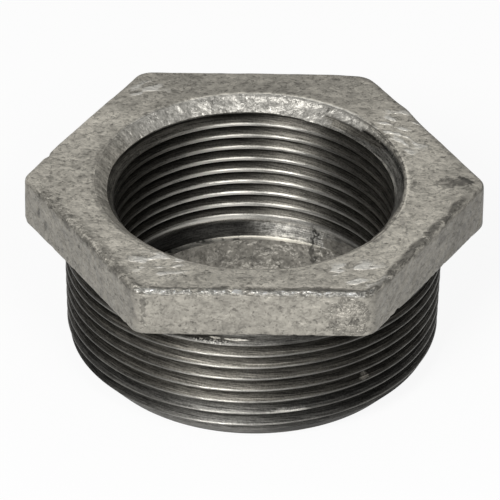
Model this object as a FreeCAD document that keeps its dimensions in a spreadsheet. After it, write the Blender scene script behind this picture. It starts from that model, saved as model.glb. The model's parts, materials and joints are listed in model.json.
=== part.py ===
import FreeCAD, Part
import math
import os

import Sketcher

# Hexagon bushing, 2 inch outside by 1 1/2 inch inside: one iron casting, threaded at both ends.
# It stands on its male end. Z is the axis of the bore and points up through the head, the origin
# is the centre of the end face, and two corners of the hexagon lie on X. All sizes are in mm.

doc = FreeCAD.newDocument("HexBushing")

SIZES = {
    # tapered shank of the outside thread, measured over the crests
    "thread_od": 60.3,
    "taper_on_dia": 0.0625,
    "shank_length": 22.6,
    "end_chamfer_width": 3.8,
    "end_chamfer_height": 4.1,
    # hexagon head, whose flats stand out past the thread by the shoulder
    "flat_shoulder": 1.85,
    "head_height": 8.4,
    "corner_round": 3.2,
    "edge_round": 0.9,
    # drilled bore of the inside thread, measured inside the crests, from the head's face down
    "bore_dia": 44.6,
    "bore_depth": 25.8,
    # flared mouth round the bore at the head's face
    "mouth_width": 2.9,
    "mouth_depth": 2.4,
    "mouth_break": 0.5,
    # cored waterway below the ledge where the drill stopped, narrowing to the end face
    "ledge_width": 0.6,
    "core_narrowing": 1.3,
    "core_break": 0.4,
}

sheet = doc.addObject("Spreadsheet::Sheet", "Sizes")
for row, (alias, size) in enumerate(SIZES.items(), start=1):
    sheet.set(f"A{row}", alias)
    sheet.set(f"B{row}", repr(size))
    sheet.setAlias(f"B{row}", alias)
doc.recompute()


def cell(alias):
    """A size as it stands in the sheet."""
    return float(sheet.get(alias))


def near(value, target):
    """True for two lengths that are the same but for rounding."""
    return abs(value - target) < 0.01


def new_sketch(body, name, role):
    """A sketch on the body's own origin plane that has this role."""
    plane = next(item for item in body.Origin.OriginFeatures if item.Role == role)
    sketch = body.newObject("Sketcher::SketchObject", name)
    sketch.AttachmentSupport = [(plane, "")]
    sketch.MapMode = "FlatFace"
    return sketch


def bind(sketch, name, constraint, expression):
    """Adds a constraint under a name of its own and drives it from the sheet."""
    index = sketch.addConstraint(constraint)
    sketch.renameConstraint(index, name)
    sketch.setExpression(f"Constraints.{name}", expression)


def half_section(sketch, corners):
    """Draws a closed outline beside the axis, for a turned feature, and drives each corner.

    A corner is (name, radius, its expression, height, its expression). An empty expression keeps
    the corner on the axis, or at the height of the end face.
    """
    points = [FreeCAD.Vector(radius, height, 0) for _, radius, _, height, _ in corners]
    for start, end in zip(points, points[1:] + points[:1]):
        sketch.addGeometry(Part.LineSegment(start, end))
    for index, (name, radius, radius_from, height, height_from) in enumerate(corners):
        before = (index - 1) % len(corners)
        sketch.addConstraint(Sketcher.Constraint("Coincident", before, 2, index, 1))
        if radius_from:
            across = Sketcher.Constraint("DistanceX", -1, 1, index, 1, radius)
            bind(sketch, f"{name}_radius", across, radius_from)
        else:
            sketch.addConstraint(Sketcher.Constraint("PointOnObject", index, 1, -2))
        if height_from:
            up = Sketcher.Constraint("DistanceY", -1, 1, index, 1, height)
            bind(sketch, f"{name}_height", up, height_from)
        else:
            sketch.addConstraint(Sketcher.Constraint("PointOnObject", index, 1, -1))
    doc.recompute()


def turned(body, kind, name, sketch):
    """A full turn of a sketch about its own upright axis."""
    feature = body.newObject(kind, name)
    feature.Profile = sketch
    feature.ReferenceAxis = (sketch, ["V_Axis"])
    feature.Angle = 360
    doc.recompute()
    return feature


def dress(body, kind, name, base, wanted, driven, expression):
    """A fillet or chamfer on those edges of the base feature that the test picks out."""
    names = [f"Edge{number}" for number, edge in enumerate(base.Shape.Edges, 1) if wanted(edge)]
    if not names:
        raise RuntimeError(f"{name} finds no edge to work on")
    feature = body.newObject(kind, name)
    feature.Base = (base, names)
    feature.setExpression(driven, expression)
    doc.recompute()
    return feature


bushing = doc.addObject("PartDesign::Body", "hex_bushing")
bushing.Label = "hex_bushing"

# Shank: turned about the axis, one in sixteen wider at the head than at its free end, which has a
# broad chamfer. It carries the outside thread.
shank_radius = cell("thread_od") / 2
tapered_length = cell("shank_length") - cell("end_chamfer_height")
chamfer_radius = shank_radius - tapered_length * cell("taper_on_dia") / 2
CHAMFER_RADIUS = (
    "Sizes.thread_od / 2 - (Sizes.shank_length - Sizes.end_chamfer_height) * Sizes.taper_on_dia / 2"
)
shank_section = new_sketch(bushing, "ShankSection", "XZ_Plane")
half_section(
    shank_section,
    [
        ("foot", 0, "", 0, ""),
        (
            "end_face",
            chamfer_radius - cell("end_chamfer_width"),
            CHAMFER_RADIUS + " - Sizes.end_chamfer_width",
            0,
            "",
        ),
        (
            "chamfer_top",
            chamfer_radius,
            CHAMFER_RADIUS,
            cell("end_chamfer_height"),
            "Sizes.end_chamfer_height",
        ),
        (
            "under_head",
            shank_radius,
            "Sizes.thread_od / 2",
            cell("shank_length"),
            "Sizes.shank_length",
        ),
        ("shank_top", 0, "", cell("shank_length"), "Sizes.shank_length"),
    ],
)
shank = turned(bushing, "PartDesign::Revolution", "Shank", shank_section)

# Head: a regular hexagon on top of the shank, two corners on X.
flat_reach = shank_radius + cell("flat_shoulder")
corner_reach = flat_reach / math.cos(math.radians(30))
head_outline = new_sketch(bushing, "HeadOutline", "XY_Plane")
head_outline.setExpression("AttachmentOffset.Base.z", "Sizes.shank_length")
turns = [math.radians(60 * step) for step in range(6)]
hexagon = [FreeCAD.Vector(math.cos(turn), math.sin(turn), 0) * corner_reach for turn in turns]
for start, end in zip(hexagon, hexagon[1:] + hexagon[:1]):
    head_outline.addGeometry(Part.LineSegment(start, end))
through_corners = Part.Circle(FreeCAD.Vector(0, 0, 0), FreeCAD.Vector(0, 0, 1), corner_reach)
guide = head_outline.addGeometry(through_corners, True)
head_outline.addConstraint(Sketcher.Constraint("Coincident", guide, 3, -1, 1))
for index in range(6):
    head_outline.addConstraint(Sketcher.Constraint("Coincident", index - 1 if index else 5, 2, index, 1))
    head_outline.addConstraint(Sketcher.Constraint("PointOnObject", index, 1, guide))
for index in range(1, 6):
    head_outline.addConstraint(Sketcher.Constraint("Equal", 0, index))
head_outline.addConstraint(Sketcher.Constraint("PointOnObject", 0, 1, -1))
bind(
    head_outline,
    "flat_reach",
    Sketcher.Constraint("Distance", -1, 1, 1, flat_reach),
    "Sizes.thread_od / 2 + Sizes.flat_shoulder",
)
doc.recompute()
head = bushing.newObject("PartDesign::Pad", "Head")
head.Profile = head_outline
head.setExpression("Length", "Sizes.head_height")
doc.recompute()

# Bore, from the head's face down: the flared mouth, the drilled bore, the narrow ledge where the
# drill stopped, and the cored waterway.
top = cell("shank_length") + cell("head_height")
ledge = top - cell("bore_depth")
bore_radius = cell("bore_dia") / 2
mouth_radius = bore_radius + cell("mouth_width")
core_radius = bore_radius - cell("ledge_width")
outlet_radius = core_radius - cell("core_narrowing")
TOP = "Sizes.shank_length + Sizes.head_height"
LEDGE = TOP + " - Sizes.bore_depth"
CORE_RADIUS = "Sizes.bore_dia / 2 - Sizes.ledge_width"
bore_section = new_sketch(bushing, "BoreSection", "XZ_Plane")
half_section(
    bore_section,
    [
        ("outlet_centre", 0, "", 0, ""),
        ("outlet", outlet_radius, CORE_RADIUS + " - Sizes.core_narrowing", 0, ""),
        ("core_top", core_radius, CORE_RADIUS, ledge, LEDGE),
        ("ledge_rim", bore_radius, "Sizes.bore_dia / 2", ledge, LEDGE),
        (
            "mouth_foot",
            bore_radius,
            "Sizes.bore_dia / 2",
            top - cell("mouth_depth"),
            TOP + " - Sizes.mouth_depth",
        ),
        ("mouth_rim", mouth_radius, "Sizes.bore_dia / 2 + Sizes.mouth_width", top, TOP),
        ("mouth_centre", 0, "", top, TOP),
    ],
)
bore = turned(bushing, "PartDesign::Groove", "Bore", bore_section)

# Soft edges of the casting: the six upright corners first, then the outline of the head above and
# below, and then the rims of the two openings.


def out_past_flats(edge):
    """True for an edge whose middle lies as far out as the flats of the head."""
    return math.hypot(edge.CenterOfMass.x, edge.CenterOfMass.y) > flat_reach - 0.01


def upright_corner(edge):
    """True for the six edges where two flats meet."""
    rise = edge.BoundBox.ZMax - edge.BoundBox.ZMin
    return len(edge.Vertexes) == 2 and near(rise, cell("head_height")) and out_past_flats(edge)


def head_edge(edge):
    """True for the edges round the head's upper and lower face."""
    level = near(edge.BoundBox.ZMin, edge.BoundBox.ZMax)
    at_face = near(edge.BoundBox.ZMax, top) or near(edge.BoundBox.ZMax, cell("shank_length"))
    return level and at_face and out_past_flats(edge)


def rim(radius, height):
    """A test for the full circle about the axis with this radius and height."""

    def wanted(edge):
        if not isinstance(edge.Curve, Part.Circle) or out_past_flats(edge):
            return False
        on_axis = near(edge.Curve.Center.x, 0) and near(edge.Curve.Center.y, 0)
        return on_axis and near(edge.Curve.Radius, radius) and near(edge.Curve.Center.z, height)

    return wanted


corners = dress(
    bushing, "PartDesign::Fillet", "Corners", bore, upright_corner, "Radius", "Sizes.corner_round"
)
head_edges = dress(
    bushing, "PartDesign::Fillet", "HeadEdges", corners, head_edge, "Radius", "Sizes.edge_round"
)
mouth_rim = dress(
    bushing,
    "PartDesign::Chamfer",
    "MouthRim",
    head_edges,
    rim(mouth_radius, top),
    "Size",
    "Sizes.mouth_break",
)
outlet_rim = dress(
    bushing,
    "PartDesign::Chamfer",
    "OutletRim",
    mouth_rim,
    rim(outlet_radius, 0),
    "Size",
    "Sizes.core_break",
)
bushing.Tip = outlet_rim
doc.recompute()

for item in doc.Objects:
    if "Invalid" in item.State or "Error" in item.State:
        raise RuntimeError(f"{item.Name} failed: {item.State}")
shape = bushing.Shape
if shape.isNull() or not shape.isValid() or len(shape.Solids) != 1:
    raise RuntimeError("the bushing is not one valid solid")
os.makedirs("parts", exist_ok=True)
shape.exportStep(f"parts/{bushing.Label}.step")
box = shape.optimalBoundingBox()
extent = f"{box.XLength:.2f} x {box.YLength:.2f} x {box.ZLength:.2f} mm"
print(f"{bushing.Label}: {extent}, {shape.Volume:.0f} cubic mm")
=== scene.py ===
import json
import math

import bmesh
import bpy
import numpy as np
from mathutils import Matrix, Vector, noise


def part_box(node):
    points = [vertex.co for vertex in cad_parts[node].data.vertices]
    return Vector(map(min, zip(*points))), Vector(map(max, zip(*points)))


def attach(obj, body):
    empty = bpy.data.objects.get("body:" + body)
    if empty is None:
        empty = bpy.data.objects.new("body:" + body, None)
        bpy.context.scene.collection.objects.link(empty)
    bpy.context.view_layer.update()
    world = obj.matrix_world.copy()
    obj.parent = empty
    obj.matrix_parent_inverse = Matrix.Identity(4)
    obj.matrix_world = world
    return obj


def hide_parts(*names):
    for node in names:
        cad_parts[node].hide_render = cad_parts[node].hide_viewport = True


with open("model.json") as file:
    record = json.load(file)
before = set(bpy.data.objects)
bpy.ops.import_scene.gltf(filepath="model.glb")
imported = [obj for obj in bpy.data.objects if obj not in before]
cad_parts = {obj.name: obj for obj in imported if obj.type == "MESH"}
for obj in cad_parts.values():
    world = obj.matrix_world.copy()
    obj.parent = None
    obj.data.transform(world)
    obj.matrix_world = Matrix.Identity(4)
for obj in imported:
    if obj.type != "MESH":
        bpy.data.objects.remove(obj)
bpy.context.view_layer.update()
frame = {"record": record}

# Casting of the bushing
# One piece of malleable iron, cast as a hexagon head on a tapered shank with a cored hole and then
# dipped in zinc. It stands on its male end, and its sizes are in millimetres: heights above the end
# face, and radii and angles round the bore's axis, with angle 0 on the right.
HIGHEST = [reach * 1000 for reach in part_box("hex_bushing")[1]]
BORE_RADIUS = next(
    mount["dims"]["r_mm"] for mount in frame["record"]["mounts"] if mount["name"] == "inside_thread"
)
TOP = HIGHEST[2]
FLAT_REACH = HIGHEST[1]
HEAD_HEIGHT = 8.4
CORNER_ROUND = 3.2
EDGE_ROUND = 0.9
SHANK_LENGTH = TOP - HEAD_HEIGHT
SHANK_RADIUS = 30.15
TAPER = 1 / 32
END_CHAMFER_WIDTH = 3.8
END_CHAMFER_HEIGHT = 4.1
END_RADIUS = SHANK_RADIUS - (SHANK_LENGTH - END_CHAMFER_HEIGHT) * TAPER - END_CHAMFER_WIDTH
MOUTH_RADIUS = BORE_RADIUS + 2.9
MOUTH_DEPTH = 2.4
MOUTH_BREAK = 0.5
LEDGE = TOP - 25.8
CORE_RADIUS = BORE_RADIUS - 0.6
OUTLET_RADIUS = CORE_RADIUS - 1.3
CORE_BREAK = 0.4
CORE_OFF_CENTRE = 0.65


def ease(value, low, high):
    """0 below low, 1 above high and a smooth rise between them."""
    share = np.clip((value - low) / (high - low), 0, 1)
    return share * share * (3 - 2 * share)


def column_angles(per_half_side, crowding):
    """Angles of the skin's columns over a full turn, closer together at the hexagon's corners."""
    spread = np.arange(-per_half_side, per_half_side) / per_half_side
    swing = math.radians(30) * (crowding * spread + (1 - crowding) * spread**3)
    turn = np.concatenate([math.radians(60 * corner) + swing for corner in range(6)])
    return np.append(turn, turn[0] + 2 * math.pi)


ANGLE = column_angles(per_half_side=34, crowding=0.68)
TURN = ANGLE / (2 * math.pi)


def near_angle(degrees, spread):
    """1 at an angle round the axis, fading over the spread in degrees to each side of it."""
    off = (np.degrees(ANGLE) - degrees + 180) % 360 - 180
    return np.exp(-((off / spread) ** 2))


def lumps(radius, height, grain):
    """Noise from -1 to 1 at the skin's points, with lumps of about the grain's size."""
    radius = radius * np.ones_like(ANGLE)
    height = height * np.ones_like(ANGLE)
    points = np.stack([radius * np.cos(ANGLE), radius * np.sin(ANGLE), height], axis=-1) / grain
    return np.array([noise.noise(point) for point in points.tolist()])


def hexagon(inset):
    """Distance from the axis to the head's outline, drawn in by an inset, for every column.

    The casting is a little out of true: the left rear side bulges and has a small chip, the left
    front side is hollow, and the right rear side has a lump, past which the corner is worn off.
    """
    reach = FLAT_REACH - inset
    rounding = CORNER_ROUND - inset
    centre = (reach - rounding) / math.cos(math.radians(30))
    off_corner = (ANGLE + math.radians(30)) % math.radians(60) - math.radians(30)
    tangent = math.atan2(rounding / 2, centre + rounding * math.cos(math.radians(30)))
    flat = reach / np.cos(math.radians(30) - np.abs(off_corner))
    under = np.maximum(rounding**2 - (centre * np.sin(off_corner)) ** 2, 0)
    arc = centre * np.cos(off_corner) + np.sqrt(under)
    outline = np.where(np.abs(off_corner) < tangent, arc, flat)
    bulge = 0.25 * near_angle(148, 18) + 0.2 * near_angle(163, 8)
    chip = 0.4 * near_angle(168.5, 1.3)
    hollow = 0.15 * near_angle(210, 16)
    lump = 0.3 * near_angle(41, 4)
    worn_corner = 0.55 * near_angle(61, 5)
    return outline + bulge - chip - hollow + lump - worn_corner


# Threads
# Both are American taper pipe thread, right-hand, cut after the zinc bath, so they are bare iron.
# The form is a 60 degree vee whose crests are rounded more on their upper side.
THREADS_PER_INCH = 11.5
PITCH = 25.4 / THREADS_PER_INCH
FLANK_SLOPE = math.tan(math.radians(30))
ARC_SPAN = math.cos(math.radians(30))


def flank_depth(from_crest, crest_round):
    """Depth of a flank below the crest at a distance along the axis from it."""
    arc = crest_round - np.sqrt(np.maximum(crest_round**2 - from_crest**2, 0))
    straight = crest_round / 2 + (from_crest - crest_round * ARC_SPAN) / FLANK_SLOPE
    return np.where(from_crest < crest_round * ARC_SPAN, arc, straight)


def full_depth(form):
    """Depth of a whole groove of a form: its crest's upper and lower round and its root's width."""
    upper, lower, root = form
    return min(float(flank_depth((PITCH - root) / 2, crest_round)) for crest_round in (upper, lower))


def groove_cut(height, start, form, fading):
    """Depth of a thread's surface below its crests, less what fading takes from it.

    The start is the height of a groove's middle at angle 0, for every column where it is untrue.
    """
    upper, lower, root = form
    number = np.round((height - start) / PITCH - TURN)
    centre = start + number * PITCH + PITCH * TURN
    crest_round = np.where(height < centre, upper, lower)
    cut = np.minimum(flank_depth(PITCH / 2 - np.abs(height - centre), crest_round), full_depth(form))
    return np.maximum(cut - full_depth(form) * fading(centre), 0)


def winding_rows(low, high, start, form):
    """Heights of the mesh rows that wind with a groove, from the lower height to the upper one.

    Each groove has two rows at its root and the crests between have five, and beyond either end
    of the thread they lie together on that end.
    """
    steps = []
    for crest_round in form[:2]:
        to_root = crest_round * ARC_SPAN + (full_depth(form) - crest_round / 2) * FLANK_SLOPE
        steps.append([crest_round / 2, crest_round * ARC_SPAN, to_root])
    offsets = [step - PITCH / 2 for step in steps[0]] + [PITCH / 2 - step for step in reversed(steps[1])]
    rows = []
    first = math.floor((low - np.max(start)) / PITCH) - 2
    last = math.ceil((high - np.min(start)) / PITCH) + 1
    for groove in range(first, last + 1):
        centre = start + groove * PITCH + PITCH * TURN
        rows += [np.clip(centre + offset, low, high) for offset in (*offsets, PITCH / 2)]
    inner = [row for row in rows if row.max() > low and row.min() < high]
    return [np.full_like(TURN, low), *inner, np.full_like(TURN, high)]


# Bore
# Cast and cored from the end face up to a narrow ledge, drilled and tapped above the ledge, and
# flared at the mouth. The flare was cast, and the tap's entry cut into it, deepest on the right.
INSIDE_START = 25.1
INSIDE_FORM = (0.55, 0.12, 0.12)
INSIDE_LOW = 7.0
INSIDE_HIGH = TOP - 0.9
MOUTH_FOOT = TOP - MOUTH_DEPTH
ENTRY_FOOT = INSIDE_START + PITCH * (1.5 + ((TURN + 0.5) % 1 - 0.5))
ENTRY_HEIGHT = 1.5
RIM_SHIFT = 1.1 * near_angle(-2, 42)
BAND_DARK_DEPTH = 0.2
LEDGE_WEAR = 0.03
HAIR = 0.001


def inside_fading(height):
    """Share of the inside thread's depth that is missing at a height.

    It runs out above the ledge, and on the right under the mouth, and a fifth of the taper makes
    it shallower further down.
    """
    slack = np.clip((TOP - height) * TAPER * 0.2 / full_depth(INSIDE_FORM), 0, 1)
    off_right = np.abs((np.degrees(ANGLE) - 5 + 180) % 360 - 180)
    under_mouth = ease(height, 28.2, 29.1) * ease(-off_right, -42, -20)
    return np.maximum(slack, ease(-height, -10.6, -7.2) + under_mouth)


def bore_row(height):
    """Radius, bare share and thread depth of the bore's surface at a height in every column.

    The cored hole lies off centre, so on the right the drill left the cast wall as it was. The
    tap's entry is a cone whose foot climbs with the thread. The band above the ledge is as dark
    as a thread of its given depth.
    """
    bearing = (np.degrees(ANGLE) + 180) % 360 - 180
    core_heights = [0, CORE_BREAK, LEDGE]
    core = np.interp(height, core_heights, [OUTLET_RADIUS + CORE_BREAK, OUTLET_RADIUS, CORE_RADIUS])
    core = core + CORE_OFF_CENTRE * np.cos(ANGLE + math.radians(20))
    core = core + 0.1 * lumps(BORE_RADIUS, height, 3.5) + 0.06 * lumps(BORE_RADIUS, height, 1.2)
    drilled_away = 3 * ease(height, 7.6, 9.4)
    right_recess = 0.5 * ease(bearing, -80, -65) * ease(-bearing, -62, -59) * ease(height, 2.5, 5)
    tight_outlet = 0.35 * near_angle(90, 50) * ease(-height, -4, 0)
    core = core - drilled_away + right_recess - tight_outlet

    foot = MOUTH_FOOT - 0.3 * near_angle(90, 40) + 0.6 * near_angle(46, 28)
    flare = BORE_RADIUS + (height - foot) * (MOUTH_RADIUS - RIM_SHIFT - BORE_RADIUS) / (TOP - foot)
    jagged = 0.07 * lumps(BORE_RADIUS, height, 1.0) + 0.1 * lumps(BORE_RADIUS, height, 2.6)
    below_rim = ease(-height, -TOP + 0.5, -TOP + 1.2)
    flare = flare + jagged * below_rim * (0.2 + 0.8 * ease(-height, -29.5, -28.9))
    cast = np.where(height > MOUTH_FOOT - 1.5, flare, core)

    cut = groove_cut(height, INSIDE_START, INSIDE_FORM, inside_fading)
    entry_depth = 0.1 + 1.5 * near_angle(22, 50) + 0.2 * near_angle(90, 40)
    entry = entry_depth * (height - ENTRY_FOOT) / ENTRY_HEIGHT
    machined = BORE_RADIUS + np.maximum(cut, entry + 0.6 * jagged * near_angle(22, 50))
    machined = np.where(height > LEDGE + HAIR / 2, machined, 0)
    band = BAND_DARK_DEPTH * ease(-height, -8.6, -7.4)
    return np.maximum(cast, machined), ease(machined - cast, -0.05, 0.0), cut + band


# Shank
# The outside thread runs from the broad chamfer at the free end to the head, where its last turn
# is shallow. The die stood a little askew, so the thread lies higher on the right.
OUTSIDE_START = 19.2 + 0.35 * np.cos(ANGLE)
OUTSIDE_FORM = (0.22, 0.16, 0.6)
OUTSIDE_LOW = 2.0
OUTSIDE_HIGH = SHANK_LENGTH - 0.05
CHAMFER_DARK_DEPTH = 0.3


def outside_fading(height):
    """Share of the outside thread's depth that is missing at a height."""
    return ease(height, 19.3, 21.2)


def shank_row(height):
    """Radius and thread depth of the shank's surface at a height in every column.

    The chamfer is as dark as a thread of its given depth.
    """
    cone = SHANK_RADIUS - (SHANK_LENGTH - height) * TAPER
    chamfer = END_RADIUS + height * END_CHAMFER_WIDTH / END_CHAMFER_HEIGHT
    cut = groove_cut(height, OUTSIDE_START, OUTSIDE_FORM, outside_fading)
    radius = np.minimum(cone - cut, chamfer)
    on_chamfer = CHAMFER_DARK_DEPTH * ease(cone - chamfer, 0.1, 0.4)
    return radius, np.maximum(np.minimum(cone, chamfer) - radius, on_chamfer)


# Skin
# One closed skin over the whole casting, row by row: up the bore, out over the head's face, down
# its sides, in under it, down the shank and back across the end face.
EDGE_RANGE = 6
EDGE_ROWS = 4
FACE_ROWS = 18
SIDE_ROWS = 11
rows = []


def add_row(radius, height, bare=0.0, cut=0.0, edge=EDGE_RANGE):
    """One ring of the skin.

    Bare is 1 on machined iron and 0 on zinc, cut is the depth in a thread, and edge is how far
    the ring lies from the head's upper edge, less than 0 on the face and more on the sides.
    """
    rows.append([np.broadcast_to(value, ANGLE.shape) for value in (radius, height, bare, cut, edge)])


for height in (0, CORE_BREAK, *np.linspace(CORE_BREAK, LEDGE - LEDGE_WEAR, 9)[1:]):
    radius, bare, cut = bore_row(np.full_like(ANGLE, height))
    add_row(radius, height, 0, 0)
add_row(radius, LEDGE, 1, 0)
for height in (LEDGE + HAIR, *np.linspace(LEDGE, INSIDE_LOW, 4)[1:-1]):
    radius, bare, cut = bore_row(np.full_like(ANGLE, height))
    add_row(radius, height, bare, cut)
for height in winding_rows(INSIDE_LOW, INSIDE_HIGH, INSIDE_START, INSIDE_FORM):
    radius, bare, cut = bore_row(height)
    add_row(radius, height, bare, cut)

# The rim between the flare and the head's face is ragged, and flatter on the right.
flare_slope = math.hypot(MOUTH_RADIUS - BORE_RADIUS, MOUTH_DEPTH)
rim_in = MOUTH_RADIUS - RIM_SHIFT - MOUTH_BREAK * (MOUTH_RADIUS - BORE_RADIUS) / flare_slope
rim_down = TOP - MOUTH_BREAK * MOUTH_DEPTH / flare_slope
rim_out = MOUTH_RADIUS - RIM_SHIFT + MOUTH_BREAK * (1 - 0.5 * near_angle(-2, 42))
flat_lip = near_angle(5, 55)
ragged = 0.1 * lumps(rim_in, TOP, 1.3)
add_row(rim_in - 0.1, rim_down - 0.08)
add_row(rim_in - 0.1 * flat_lip + ragged, rim_down + 0.2 * flat_lip)
add_row(rim_in + 0.14 + ragged, rim_down + 0.13 + 0.15 * flat_lip)

face_outline = hexagon(EDGE_ROUND)
half_round = EDGE_ROUND * math.pi / 4
for share in np.linspace(0, 1, FACE_ROWS + 1):
    to_edge = (face_outline - rim_out) * (1 - share)
    add_row(face_outline - to_edge, TOP, edge=np.maximum(-to_edge - half_round, -EDGE_RANGE))
for tilt in np.linspace(0, math.pi / 2, EDGE_ROWS + 1)[1:]:
    drop = EDGE_ROUND * (1 - math.cos(tilt))
    outline = hexagon(EDGE_ROUND * (1 - math.sin(tilt)))
    add_row(outline, TOP - drop, edge=EDGE_ROUND * (tilt - math.pi / 4))
for height in np.linspace(TOP - EDGE_ROUND, SHANK_LENGTH + EDGE_ROUND, SIDE_ROWS)[1:]:
    add_row(hexagon(0), height, edge=min(TOP - EDGE_ROUND - height + half_round, EDGE_RANGE))
for tilt in np.linspace(0, math.pi / 2, EDGE_ROWS + 1)[1:]:
    drop = EDGE_ROUND * math.sin(tilt)
    add_row(hexagon(EDGE_ROUND * (1 - math.cos(tilt))), SHANK_LENGTH + EDGE_ROUND - drop)
for share in (0.3, 0.6, 0.88):
    add_row(face_outline + (SHANK_RADIUS - face_outline) * share, SHANK_LENGTH)
for height in reversed(winding_rows(OUTSIDE_LOW, OUTSIDE_HIGH, OUTSIDE_START, OUTSIDE_FORM)):
    radius, cut = shank_row(height)
    add_row(radius, height, 1, cut)
for height in np.linspace(OUTSIDE_LOW, 0, 4)[1:]:
    add_row(shank_row(np.full_like(ANGLE, height))[0], height, 1, CHAMFER_DARK_DEPTH)
outlet = bore_row(np.zeros_like(ANGLE))[0]
for share in (0.25, 0.5, 0.75):
    add_row(END_RADIUS + (outlet - END_RADIUS) * share, 0, 1)

rows = np.array(rows)
radius, height, bare, cut, edge = (rows[:, item] for item in range(5))
points = np.stack([radius * np.cos(ANGLE), radius * np.sin(ANGLE), height], axis=-1) / 1000
row_count, column_count = radius.shape
faces = [
    (
        row * column_count + column,
        row * column_count + column + 1,
        (row + 1) % row_count * column_count + column + 1,
        (row + 1) % row_count * column_count + column,
    )
    for row in range(row_count)
    for column in range(column_count - 1)
]
skin = bpy.data.meshes.new("hex_bushing_skin")
skin.from_pydata(points.reshape(-1, 3), [], faces)
for name, values in (("bare", bare), ("cut", cut), ("edge", edge)):
    layer = skin.attributes.new(name, "FLOAT", "POINT")
    layer.data.foreach_set("value", values.astype(np.float32).ravel())

# The seam column and the rows that lie together at a thread's ends are joined, so what winds with
# the thread is kept at the corners of the faces.
wind = (height - PITCH * TURN).ravel()[np.array(faces).ravel()]
skin.attributes.new("wind", "FLOAT", "CORNER").data.foreach_set("value", wind.astype(np.float32))
joined = bmesh.new()
joined.from_mesh(skin)
bmesh.ops.remove_doubles(joined, verts=joined.verts, dist=2e-7)
bmesh.ops.recalc_face_normals(joined, faces=joined.faces)
joined.to_mesh(skin)
joined.free()

# The cast surfaces are uneven, with a beaded front edge and a hollow behind it, and notches along
# the foot of the head. The machined ones and the face that it stands on are not.
count = len(skin.vertices)
place = np.empty(count * 3)
way_out = np.empty(count * 3)
bare = np.empty(count)
edge = np.empty(count)
skin.vertices.foreach_get("co", place)
skin.vertices.foreach_get("normal", way_out)
skin.attributes["bare"].data.foreach_get("value", bare)
skin.attributes["edge"].data.foreach_get("value", edge)
place = place.reshape(-1, 3) * 1000
way_out = way_out.reshape(-1, 3)
x, y, z = place.T
UNEVEN = ((0.1, 11.0), (0.05, 3.6), (0.025, 1.5))
DEEPEST = sum(depth for depth, grain in UNEVEN)
BEAD_HEIGHT = 0.1
HOLLOW_DEPTH = 0.12
NOTCH_DEPTH = 0.3
swell = np.full(count, -DEEPEST * 0.75)
for depth, grain in UNEVEN:
    swell += depth * np.array([noise.noise(point) for point in (place / grain).tolist()])
beads = np.array([noise.noise(point) for point in (place / 1.1).tolist()])
front = ease(-y, 1, 6)
swell += BEAD_HEIGHT * front * np.exp(-(((edge + 0.4) / 0.6) ** 2)) * (0.5 + beads)
hollowed = ease(-y, 26, 28) * ease(x, -6, 0)
swell -= HOLLOW_DEPTH * hollowed * np.exp(-(((edge + 1.75) / 0.5) ** 2))
at_foot = np.exp(-(((z - SHANK_LENGTH - 0.3) / 0.7) ** 2))
swell -= NOTCH_DEPTH * at_foot * np.maximum(beads - 0.05, 0)
swell = np.minimum(swell, 0) * (1 - bare) * ease(z, 0.3, 1.5)
skin.vertices.foreach_set("co", ((place + way_out * swell[:, None]) / 1000).ravel())
skin.shade_smooth()
skin.set_sharp_from_angle(angle=math.radians(40))

bushing = bpy.data.objects.new("hex_bushing_body", skin)
bpy.context.scene.collection.objects.link(bushing)
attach(bushing, "root")
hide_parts("hex_bushing")


# Finish of the casting
# Dull grey hot-dip zinc over the cast skin, with dark specks and stains, and dark bare iron in the
# threads, darker at the roots with oil and painted shade, and rubbed bright along the crests.
class Wire:
    """One output in a material's node tree. Arithmetic on it adds the Math nodes."""

    def __init__(self, tree, socket=None):
        self.tree = tree
        self.socket = socket

    def node(self, kind, settings=None, sockets=None, output=0):
        """Adds a node: its settings first, then a value or a wire for each named socket."""
        made = self.tree.nodes.new(kind)
        for name, value in (settings or {}).items():
            setattr(made, name, value)
        for name, value in (sockets or {}).items():
            if isinstance(value, Wire):
                self.tree.links.new(value.socket, made.inputs[name])
            else:
                made.inputs[name].default_value = value
        return Wire(self.tree, made.outputs[output] if made.outputs else None)

    def maths(self, operation, *values):
        return self.node("ShaderNodeMath", {"operation": operation}, dict(enumerate(values)))

    def __add__(self, other):
        return self.maths("ADD", self, other)

    __radd__ = __add__

    def __sub__(self, other):
        return self.maths("SUBTRACT", self, other)

    def __rsub__(self, other):
        return self.maths("SUBTRACT", other, self)

    def __mul__(self, other):
        return self.maths("MULTIPLY", self, other)

    __rmul__ = __mul__

    def rise(self, low, high):
        """0 where this is below low, 1 where it is above high, and a smooth rise between."""
        span = {"Value": self, "From Min": low, "From Max": high}
        return self.node("ShaderNodeMapRange", {"interpolation_type": "SMOOTHSTEP"}, span)

    def fall(self, low, high):
        """1 where this is below low, 0 where it is above high, and a smooth fall between."""
        return 1 - self.rise(low, high)

    def near(self, level, inner, outer):
        """1 where this is within inner of a level, 0 where it is more than outer from it."""
        return self.maths("ABSOLUTE", self - level).fall(inner, outer)

    def larger(self, other):
        return self.maths("MAXIMUM", self, other)

    def smaller(self, other):
        return self.maths("MINIMUM", self, other)


finish = bpy.data.materials.new("zinc_and_bare_iron")
finish.use_nodes = True
finish.node_tree.nodes.clear()
ink = Wire(finish.node_tree)


def vectors(operation, first, second):
    """Vector maths on a wire and another wire or plain vector."""
    return ink.node("ShaderNodeVectorMath", {"operation": operation}, {0: first, 1: second})


def scaled(vector, scale):
    """A vector's wire times a number."""
    return ink.node("ShaderNodeVectorMath", {"operation": "SCALE"}, {0: vector, "Scale": scale})


def attribute(name):
    """A value that the skin carries at its points."""
    return ink.node("ShaderNodeAttribute", {"attribute_name": name}, output=2)


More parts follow.
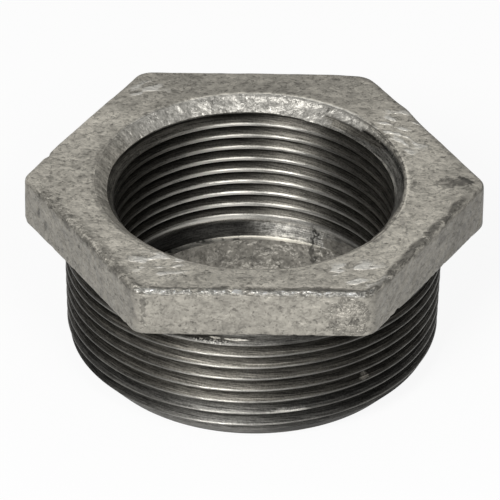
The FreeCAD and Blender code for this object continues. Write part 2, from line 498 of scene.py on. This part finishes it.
# Where a point lies, in millimetres, and what the skin says of it.
place = scaled(ink.node("ShaderNodeTexCoord", output=3), 1000)
x, y, z = (ink.node("ShaderNodeSeparateXYZ", {}, {0: place}, output=item) for item in range(3))
left = x * -1
ahead = y * -1
off_middle = x.maths("ABSOLUTE", x)
flat_place = vectors("MULTIPLY", place, (1, 1, 0))
from_axis = ink.node("ShaderNodeVectorMath", {"operation": "LENGTH"}, {0: flat_place}, output=1)
bearing = ink.node("ShaderNodeVectorMath", {"operation": "NORMALIZE"}, {0: flat_place})
bare = attribute("bare")
cut = attribute("cut")
edge = attribute("edge")
winding = ink.node("ShaderNodeCombineXYZ", {}, {0: cut, 2: attribute("wind")})


def grain(size, detail=3.0, roughness=0.6, at=place, shift=0.0, warp=0.0):
    """Noise from about 0.2 to 0.8 with lumps of a size in millimetres."""
    moved = vectors("ADD", at, (shift, shift, shift)) if shift else at
    sockets = {
        "Vector": moved,
        "Scale": 1 / size,
        "Detail": detail,
        "Roughness": roughness,
        "Distortion": warp,
    }
    return ink.node("ShaderNodeTexNoise", {"normalize": True}, sockets)


def streak(length, width, shift=0.0):
    """Noise in long marks that follow the thread, of a length and width in millimetres."""
    both = vectors("ADD", scaled(flat_place, 1 / length), scaled(winding, 1 / width))
    return grain(1, 2.0, 0.55, both, shift)


def patch(centre, half_size, raggedness=1.0):
    """1 in a ragged oval about a point, in millimetres, and 0 outside it."""
    away = vectors("DIVIDE", vectors("SUBTRACT", place, centre), half_size)
    reach = ink.node("ShaderNodeVectorMath", {"operation": "LENGTH"}, {0: away}, output=1)
    return (reach + raggedness * (mottle - 0.5)).fall(0.7, 1.2)


def warm_grey(value, neutral_share):
    """A wire's value as a grey that leans a little to brown, and less so by the neutral share."""
    channels = {0: value * (1.06 - 0.03 * neutral_share), 1: value, 2: value * (0.87 + 0.05 * neutral_share)}
    return ink.node("ShaderNodeCombineColor", {}, channels)


# Zinc: blotches in three sizes, with dark strokes, stains and specks. The head's sides are darkened as
# painted shade, the right one most, and the face is darker towards its front and back.
on_side = (edge + 1.2 * (grain(1.8, 3.0, 0.6, shift=70) - 0.5)).rise(-0.4, 0.6)
along_grain = {0: 0.82 + 0.05 * on_side, 1: 1 - 0.18 * on_side, 2: 1 + 0.1 * on_side}
laid = vectors("MULTIPLY", place, ink.node("ShaderNodeCombineXYZ", {}, along_grain))
broad = grain(10.0, 2.0)
mottle = grain(1.6, 3.0, 0.66, laid, warp=0.7)
fine = grain(0.42, 2.0, 0.6, laid, 40)
zinc_value = 0.59 + 0.35 * (broad - 0.5) + (0.95 - 0.25 * on_side) * (mottle - 0.5)
zinc_value = zinc_value + (0.48 - 0.15 * on_side) * (fine - 0.5)
strokes = grain(0.9, 3.0, 0.6, laid, 80, warp=1.0).rise(0.56, 0.62)
stains = grain(3.6, 4.0, 0.7, shift=120).rise(0.54, 0.72)
specks = grain(0.75, 2.0, 0.5, shift=170).rise(0.62, 0.68)
zinc_value = zinc_value * (1 - (0.32 - 0.14 * on_side) * strokes)
zinc_value = zinc_value * (1 - 0.24 * stains) * (1 - 0.4 * specks)
face_darkening = 0.09 * ahead.rise(18, 28) + 0.26 * y.rise(16, 28)
# Painted shade on the head's sides, darkest on the right.
side_shade = 0.425 + 0.11 * off_middle.rise(17, 19) + 0.06 * x.rise(17, 19)
zinc_value = zinc_value * (1 - face_darkening + (face_darkening - side_shade) * on_side)
zinc_height = 0.27 * mottle + 0.1 * fine - 0.08 * strokes
zinc_height = zinc_height + 0.9 * on_side * grain(2.4, 2.0, 0.5, shift=140)

# A ragged hollow follows the front edge of the face, darkened as painted shade. The left edge has soft
# smudges of dirt instead and the right one a broken crust. A line of painted shade lies round the
# mouth's left side, and a dark line round its right side.
front = ahead.rise(1, 6)
on_front = ahead.rise(26.5, 28.5)
wander = edge + 1.8 * (grain(4.5, 3.0, shift=11) - 0.5) + 1.2 * (mottle - 0.5)
deep = x.rise(-3, 1) * x.fall(14, 16)
# Painted shade in the hollow behind the front edge.
hollow = wander.near(-1.35, 0.1 + 0.25 * deep, 0.7 + 0.4 * deep) * on_front
hollow = hollow * grain(2.6, 4.0, 0.65, shift=7).rise(0.40 - 0.14 * deep, 0.54 - 0.08 * deep)
smudge = wander.near(-0.7, 0.4, 2.6) * front * left.rise(14, 18)
smudge = smudge * grain(2.4, 4.0, 0.7, shift=17).rise(0.42, 0.58) * 0.85
crust = wander.near(-0.75, 0.35, 1.0) * front * x.rise(14, 18)
crust = crust * grain(1.5, 4.0, 0.7, shift=27).rise(0.34, 0.46) * 1.1
# Painted shade along the mouth's rim on the left.
left_rim_shade = (from_axis + 1.2 * (grain(3.5, 3.0, shift=23) - 0.5)).near(25.5, 0.1, 0.6)
left_rim_shade = left_rim_shade * left.rise(6, 12) * y.fall(20, 24) * (1 - on_side)
left_rim_shade = left_rim_shade * 0.8 * (0.45 + 0.55 * grain(1.6, 3.0, 0.6, shift=87).rise(0.42, 0.56))
right_line = (from_axis + 1.2 * (grain(2.2, 3.0, shift=29) - 0.5)).near(25.1, 0.1, 0.8)
right_line = right_line * x.rise(14, 20) * (1 - on_side)
right_line = right_line * 0.7 * grain(1.8, 3.0, 0.6, shift=37).rise(0.46, 0.56)
# Dirt and painted shade together darken the zinc.
dirt_and_shade = hollow.larger(smudge).larger(crust).larger(left_rim_shade).larger(right_line)
zinc_value = zinc_value * (1 - 0.58 * dirt_and_shade)
zinc_height = zinc_height - 0.16 * dirt_and_shade

# The front edge itself is a beaded line, lightened as a painted highlight.
bead_and_highlight = (edge + 1.8 * (grain(1.7, 3.0, 0.6, shift=61) - 0.5)).near(-0.35, 0.3, 0.9) * on_front
bead_and_highlight = bead_and_highlight * grain(2.4, 3.0, 0.65, shift=51).rise(0.34, 0.46) * off_middle.fall(18, 19.2)
# Painted highlight along the bead.
zinc_value = zinc_value + bead_and_highlight * (0.1 + 0.5 * grain(0.7, 2.0, 0.5, shift=43).rise(0.42, 0.58))
zinc_height = zinc_height + bead_and_highlight * 0.8 * grain(1.0, 2.0, 0.5, shift=13)

# Worn, shapeless relief in four places on the face, lightened as a painted highlight: the middle and
# half size of each patch, and how far its strokes lean in degrees.
RELIEF = (
    ((-17.1, 25.6, TOP), (3.2, 3.2, 2), 15),
    ((23.5, 14.9, TOP), (4.6, 7.0, 2), -35),
    ((-14.8, -24.1, TOP), (5.2, 3.8, 2), 15),
    ((16.1, -25.9, TOP), (5.0, 3.8, 2), 20),
)
relief_and_highlight = 0
for centre, half_size, lean in RELIEF:
    turned = {0: place, 3: -math.radians(lean)}
    turned = ink.node("ShaderNodeVectorRotate", {"rotation_type": "Z_AXIS"}, turned)
    turned = vectors("MULTIPLY", turned, (0.5, 1, 1))
    relief_and_highlight = patch(centre, half_size) * grain(1.35, 1.0, 0.4, turned, 60).rise(0.5, 0.62) + relief_and_highlight
relief_and_highlight = relief_and_highlight * (1 - on_side)
# Painted highlight on the raised strokes.
zinc_value = zinc_value + 0.3 * relief_and_highlight
zinc_height = zinc_height + 0.2 * relief_and_highlight

# Pits at the right end of the front side, darkened as painted shade and ringed with painted highlights.
pits = patch((14.6, -32, 26.4), (3.0, 2.0, 3.2), 1.5) * on_side
lumpy = grain(1.2, 3.0, 0.6, shift=150)
zinc_value = zinc_value * (1 - 0.5 * pits * lumpy.fall(0.36, 0.42) + 0.3 * pits * lumpy.rise(0.54, 0.64))
zinc_height = zinc_height + 1.2 * pits * lumpy

# Dark marks: by the right corner, down the left end of the front, and near the left corner.
MARKS = (
    ((31.6, -0.3, TOP), (3.0, 1.7, 1)),
    ((32.4, 0.3, TOP), (1.9, 1.3, 1)),
    ((-17.2, -32, 27.6), (0.6, 2, 2.3)),
    ((-33.8, -4.6, 27.2), (0.35, 0.5, 1.2)),
    ((-32.8, -6.4, 26.2), (0.35, 0.5, 1.0)),
)
for centre, half_size in MARKS:
    zinc_value = zinc_value * (1 - 0.4 * patch(centre, half_size, 3.2))

# The rear right edge of the face is darkened as painted shade, and the two corners at the sides are
# darker, the right one more.
rear_edge_shade = edge.rise(-1.7, -0.4) * x.rise(8, 14) * y.rise(-2, 4)
darker_corners = 0.16 * x.rise(28, 33) + 0.09 * left.rise(28, 33)
zinc_value = zinc_value * (1 - 0.28 * rear_edge_shade) * (1 - darker_corners)

# The flared mouth is lightened as a painted sheen, with crystals in strokes down the slope, and is least
# brown at the back.
flare = from_axis.fall(25.3, 25.8) * z.rise(MOUTH_FOOT - 0.5, MOUTH_FOOT)
flare = flare * (1 - z.rise(30.55, 30.75) * x.rise(15, 20))
down_slope = scaled(bearing, MOUTH_RADIUS)
crystals = grain(0.4, 3.0, 0.6, down_slope, 20) * 0.5 + grain(0.5, 3.0, 0.65, shift=33) * 0.5
flare_sheen = 0.12 + 0.02 * off_middle.rise(14, 20) - 0.05 * left.rise(18, 22)
# Painted sheen on the flare.
zinc_value = zinc_value + flare * (flare_sheen + 0.8 * (crystals - 0.5))
zinc_height = zinc_height + flare * 0.05 * crystals
neutral_flare = flare * 0.8 * y.rise(8, 18)

# Its rim carries a painted highlight at the back, with a band of painted shade behind it, and it is
# speckled on the right. Pale grains lie along its foot at the left rear.
back_rim = from_axis + 0.9 * (grain(1.4, 3.0, 0.6, shift=75) - 0.5)
# Painted highlight on the rim at the back.
zinc_value = zinc_value + 0.35 * back_rim.near(25.5, 0.05, 0.35) * y.rise(17, 23) * x.rise(-15, -8)
rim_shade_band = back_rim.rise(25.7, 26.2) * back_rim.fall(26.5, 28.5) * y.rise(17, 23)
zinc_value = zinc_value * (1 - 0.16 * rim_shade_band)
foot_grains = flare * from_axis.fall(22.7, 23.3) * x.fall(-6, 2) * y.rise(-4, 4)
zinc_value = zinc_value + 0.3 * foot_grains * grain(0.6, 2.0, 0.5, shift=97).rise(0.48, 0.6)
right_rim = from_axis.near(24.3, 0.15, 0.5) * x.rise(12, 16) * z.rise(29, 30)
zinc_value = zinc_value + 0.3 * right_rim * grain(0.8, 3.0, 0.6, shift=77).rise(0.42, 0.56)

# The cored waterway is darker. A crack runs up its back wall on the right, past the ledge.
core = from_axis.fall(23, 24) * z.fall(9, 10)
CRACK_X = 9.9
crack = (x + 3.0 * (grain(1.5, 2.0, shift=160) - 0.5)).near(CRACK_X, 0.08, 0.4)
crack = crack * y.rise(10, 12) * z.rise(2, 3) * z.fall(8, 9.5)
zinc_value = (zinc_value * (1 - 0.3 * core) * (1 - 0.6 * crack)).larger(0.06)

# Bare iron: streaks and scratches that follow the thread, and how high on it a point lies.
outside = from_axis.rise(25.6, 26.2)
long_streak = streak(12, 0.5)
short_streak = streak(1.7, 0.22, 30)
scratches = streak(5, 0.13, 60)
speckle = grain(0.28, 2.0, 0.6, shift=90)
crest = cut.fall(0.02, 0.25)
# Climb makes the threads darker towards their roots, as oil and as painted shade.
climb = cut.fall(0.1, 1.2)
torn = cut.near(0.55, 0.02, 0.14)

# The inside thread's crests carry a painted highlight, brightest left of the middle, and the thread is
# dusty right of it.
crest_highlight = x.rise(-18, -9) * (1 - 0.64 * x.rise(-3, 4)) * x.fall(9, 17)
crest_highlight = crest_highlight + x.rise(-12, -7) * x.fall(-4, 2)
dusty = x.rise(-2, 6) * x.fall(8, 17)
inside_value = 0.02 + 0.04 * climb + 0.06 * crest + crest_highlight * (0.02 * climb + 0.4 * crest)
inside_value = inside_value + dusty * (0.07 + 0.05 * climb) + 0.04 * x.rise(12, 17)

# Its entry, on the right, has a pale lip at its foot and is pale where it begins.
lip = z.near(28.55, 0.12, 0.32) * x.rise(4, 10) * y.rise(-6, 6)
pale_entry = x.rise(6, 9) * x.fall(12.5, 16.5) * (0.6 + 1.2 * (speckle - 0.5))
entry_value = 0.09 * x.rise(10, 16) + 0.45 * pale_entry
inside_value = inside_value + 0.45 * lip + z.rise(28.7, 29.0) * entry_value

# The drilled band above the ledge is dark on the left and dusty on the right, and the ledge carries a
# broken line of painted highlight. The turns under the mouth are paler on the left.
band = z.fall(7.5, 9)
# Painted highlight along the ledge.
ledge = z.near(LEDGE, 0.05, 0.25) * (1 - outside) * (0.4 + 0.6 * x.rise(-7, -5))
ledge = ledge * grain(1.8, 2.0, 0.5, shift=180).rise(0.33, 0.48)
dust = 0.12 + 0.3 * grain(0.9, 3.0, 0.65, shift=190).rise(0.42, 0.6)
inside_value = inside_value * (1 - band * (0.75 - 0.75 * dusty)) + 0.9 * ledge
inside_value = inside_value + band * dusty * dust + 0.09 * z.rise(25.4, 26.8) * left.rise(5, 14)

# A ragged line of painted shadow lies under the flare at the back, and a ragged dark line round the
# entry on the right.
flare_shadow = (z + 0.8 * (speckle - 0.5)).near(28.45, 0.2, 0.45) * y.rise(8, 14) * x.fall(8, 12)
notch = (from_axis + 0.8 * (speckle - 0.5)).near(23.7, 0.06, 0.25) * x.rise(10, 14)
inside_value = inside_value * (1 - 0.7 * flare_shadow.larger(notch)) * (1 - 0.8 * crack)

# The outside thread has bright ridges and dashes of torn metal halfway down its flanks. It is darkened
# as painted shade on the right, on the far left and on the plain land under the head.
ridge = cut.fall(0.0, 0.13) * (1 - 0.8 * left.rise(9, 17))
outside_value = 0.09 + 0.1 * climb + 0.2 * ridge - 0.02 * z.fall(3, 4.6)
dashes = short_streak.rise(0.44, 0.56) * x.rise(-14, -9) * x.fall(4, 8)
torn_value = (0.1 + 0.22 * dashes) * torn * long_streak.rise(0.45, 0.6) * z.rise(8, 13)
# Painted shade on the thread's right and far left.
darker = 0.62 * x.rise(-3, 7) + 0.1 * left.rise(10, 18) + 0.35 * left.rise(20, 26)
outside_value = (outside_value + torn_value) * (1 - darker)
top_land = z.rise(19.3, 20.2)
# Painted shade on the plain land under the head.
outside_value = outside_value * (1 - top_land * (0.5 + 0.3 * left.rise(3, 8)))

# Rub marks under the head, left of the middle, and two pale ones lower on the right.
scuff = patch((-2.6, -30, 20.75), (1.9, 2.0, 0.22), 0.8)
scuff = scuff + patch((-6.0, -29.6, 20.75), (0.9, 2.0, 0.2), 0.8)
scuff = scuff + 0.45 * patch((-6.6, -29.4, 20.0), (3.4, 2.0, 0.4), 0.6) * speckle.rise(0.5, 0.6)
outside_value = outside_value + 0.5 * scuff * (0.4 + 1.2 * speckle)
pale_mark = patch((17.9, -23.8, 9.8), (1.0, 1.4, 0.45), 1.5)
pale_mark = pale_mark + patch((5.7, -28.9, 6.7), (3.3, 2.0, 0.4), 1.2)
outside_value = outside_value + 0.22 * pale_mark

# The streaks darken and lighten it all, and least on the polished crests.
iron_value = inside_value + (outside_value - inside_value) * outside
polish = crest * z.fall(28.2, 28.6) * (1 - outside * top_land)
uneven = 2.4 * (short_streak - 0.5) + 1.0 * (long_streak - 0.5)
uneven = uneven + 1.7 * (speckle - 0.5) + 2.4 * (scratches - 0.5)
iron_value = (iron_value * (1 + (uneven * (1 - 0.55 * polish)).larger(-0.6))).smaller(0.75)
iron_height = (0.06 * short_streak + 0.05 * scratches + 0.03 * speckle) * (1 - 0.5 * polish)
iron_height = iron_height + 0.04 * torn * outside

zinc = ink.node(
    "ShaderNodeBsdfPrincipled",
    {},
    {
        "Base Color": warm_grey(zinc_value, neutral_flare.larger(bead_and_highlight).larger(relief_and_highlight.smaller(1))),
        "Metallic": 0.6 + 0.2 * bead_and_highlight,
        "Roughness": 0.48 - 0.12 * bead_and_highlight,
        "Normal": ink.node("ShaderNodeBump", {}, {"Distance": 0.001, "Height": zinc_height}),
    },
)
iron = ink.node(
    "ShaderNodeBsdfPrincipled",
    {},
    {
        "Base Color": warm_grey(iron_value, crest.larger(ledge.smaller(1)).larger(band)),
        "Metallic": 1.0,
        "Roughness": 0.55 - 0.19 * polish,
        "Anisotropic": 0.75,
        "Anisotropic Rotation": 0.25,
        "Normal": ink.node("ShaderNodeBump", {}, {"Distance": 0.001, "Height": iron_height}),
    },
)
shader = ink.node("ShaderNodeMixShader", {}, {0: bare, 1: zinc, 2: iron})
ink.node("ShaderNodeOutputMaterial", {}, {"Surface": shader})
skin.materials.append(finish)

# Floor
# A plain pale sheet under the bushing. The camera and the metal see it near white, and it keeps a
# faint shadow.
FLOOR_HALF = 2.5
SHEET_GREY = 0.9
SHARE_OF_WHITE = 0.9
WHITE_IN_METAL = 0.6
floor_mesh = bpy.data.meshes.new("floor")
floor_corners = [(x * FLOOR_HALF, y * FLOOR_HALF, 0) for x, y in ((-1, -1), (1, -1), (1, 1), (-1, 1))]
floor_mesh.from_pydata(floor_corners, [], [(0, 1, 2, 3)])
floor = bpy.data.objects.new("floor", floor_mesh)
bpy.context.scene.collection.objects.link(floor)
paper = bpy.data.materials.new("pale_sheet")
paper.use_nodes = True
paper.node_tree.nodes.clear()
pale = Wire(paper.node_tree)
sheet_colour = (SHEET_GREY, SHEET_GREY, SHEET_GREY, 1)
matt = pale.node("ShaderNodeBsdfPrincipled", {}, {"Base Color": sheet_colour, "Roughness": 0.9})
white = pale.node("ShaderNodeEmission", {}, {"Color": (1, 1, 1, 1), "Strength": 1.0})
camera_ray = pale.node("ShaderNodeLightPath", output=0)
glossy_ray = pale.node("ShaderNodeLightPath", output=3)
seen = camera_ray.larger(glossy_ray * WHITE_IN_METAL) * SHARE_OF_WHITE
sheet = pale.node("ShaderNodeMixShader", {}, {0: seen, 1: matt, 2: white})
pale.node("ShaderNodeOutputMaterial", {}, {"Surface": sheet})
floor_mesh.materials.append(paper)

# Light
# A soft pale room and two soft lamps in front of the bushing, the stronger one on the left: the
# azimuth and elevation of each in degrees, and its power in watts.
LAMPS = (("left lamp", -23, 39, 7.4), ("right lamp", 22, 39, 3.0))
LAMP_SIZE = 0.3
LAMP_DISTANCE = 1.0
ROOM_STRENGTH = 0.29
HEAD_CENTRE = Vector((0, 0, TOP / 1000))
room = bpy.data.worlds.new("room")
bpy.context.scene.world = room
room.use_nodes = True
room.node_tree.nodes["Background"].inputs["Color"].default_value = (1, 1, 1, 1)
room.node_tree.nodes["Background"].inputs["Strength"].default_value = ROOM_STRENGTH


def direction(azimuth, elevation):
    """A unit arrow from the bushing: azimuth 0 points to the front and 90 to the right."""
    turn, rise = math.radians(azimuth), math.radians(elevation)
    return Vector((math.sin(turn) * math.cos(rise), -math.cos(turn) * math.cos(rise), math.sin(rise)))


for name, azimuth, elevation, power in LAMPS:
    softbox = bpy.data.lights.new(name, "AREA")
    softbox.size = LAMP_SIZE
    softbox.energy = power
    lamp = bpy.data.objects.new(name, softbox)
    lamp_way = direction(azimuth, elevation)
    lamp.location = HEAD_CENTRE + lamp_way * LAMP_DISTANCE
    lamp.rotation_euler = lamp_way.to_track_quat("Z", "Y").to_euler()
    bpy.context.scene.collection.objects.link(lamp)

# Camera
# A long lens in front of the bushing, looking down on it, as in the photograph.
CAMERA_DISTANCE = 1.2
IMAGE_SIDE = 500
PIXELS_PER_METRE = 6316
HEAD_CENTRE_PIXEL = (253.3, 179.5)
ROLL = math.radians(1.0)
camera_way = direction(-0.5, 33.4)
eye = HEAD_CENTRE + camera_way * CAMERA_DISTANCE
level = camera_way.to_track_quat("Z", "Y").to_matrix()
right_of_head = (IMAGE_SIDE / 2 - HEAD_CENTRE_PIXEL[0]) / PIXELS_PER_METRE
below_head = (IMAGE_SIDE / 2 - HEAD_CENTRE_PIXEL[1]) / PIXELS_PER_METRE
aim = HEAD_CENTRE + level @ Vector((right_of_head, -below_head, 0))
sight = (eye - aim).normalized().to_track_quat("Z", "Y").to_matrix() @ Matrix.Rotation(ROLL, 3, "Z")
camera_data = bpy.data.cameras.new("camera")
camera_data.sensor_width = 36
camera_data.lens = PIXELS_PER_METRE * CAMERA_DISTANCE * camera_data.sensor_width / IMAGE_SIDE
camera_data.clip_start = 0.05
camera = bpy.data.objects.new("camera", camera_data)
camera.matrix_world = Matrix.Translation(eye) @ sight.to_4x4()
bpy.context.scene.collection.objects.link(camera)
bpy.context.scene.camera = camera
bpy.context.scene.view_settings.view_transform = "Standard"
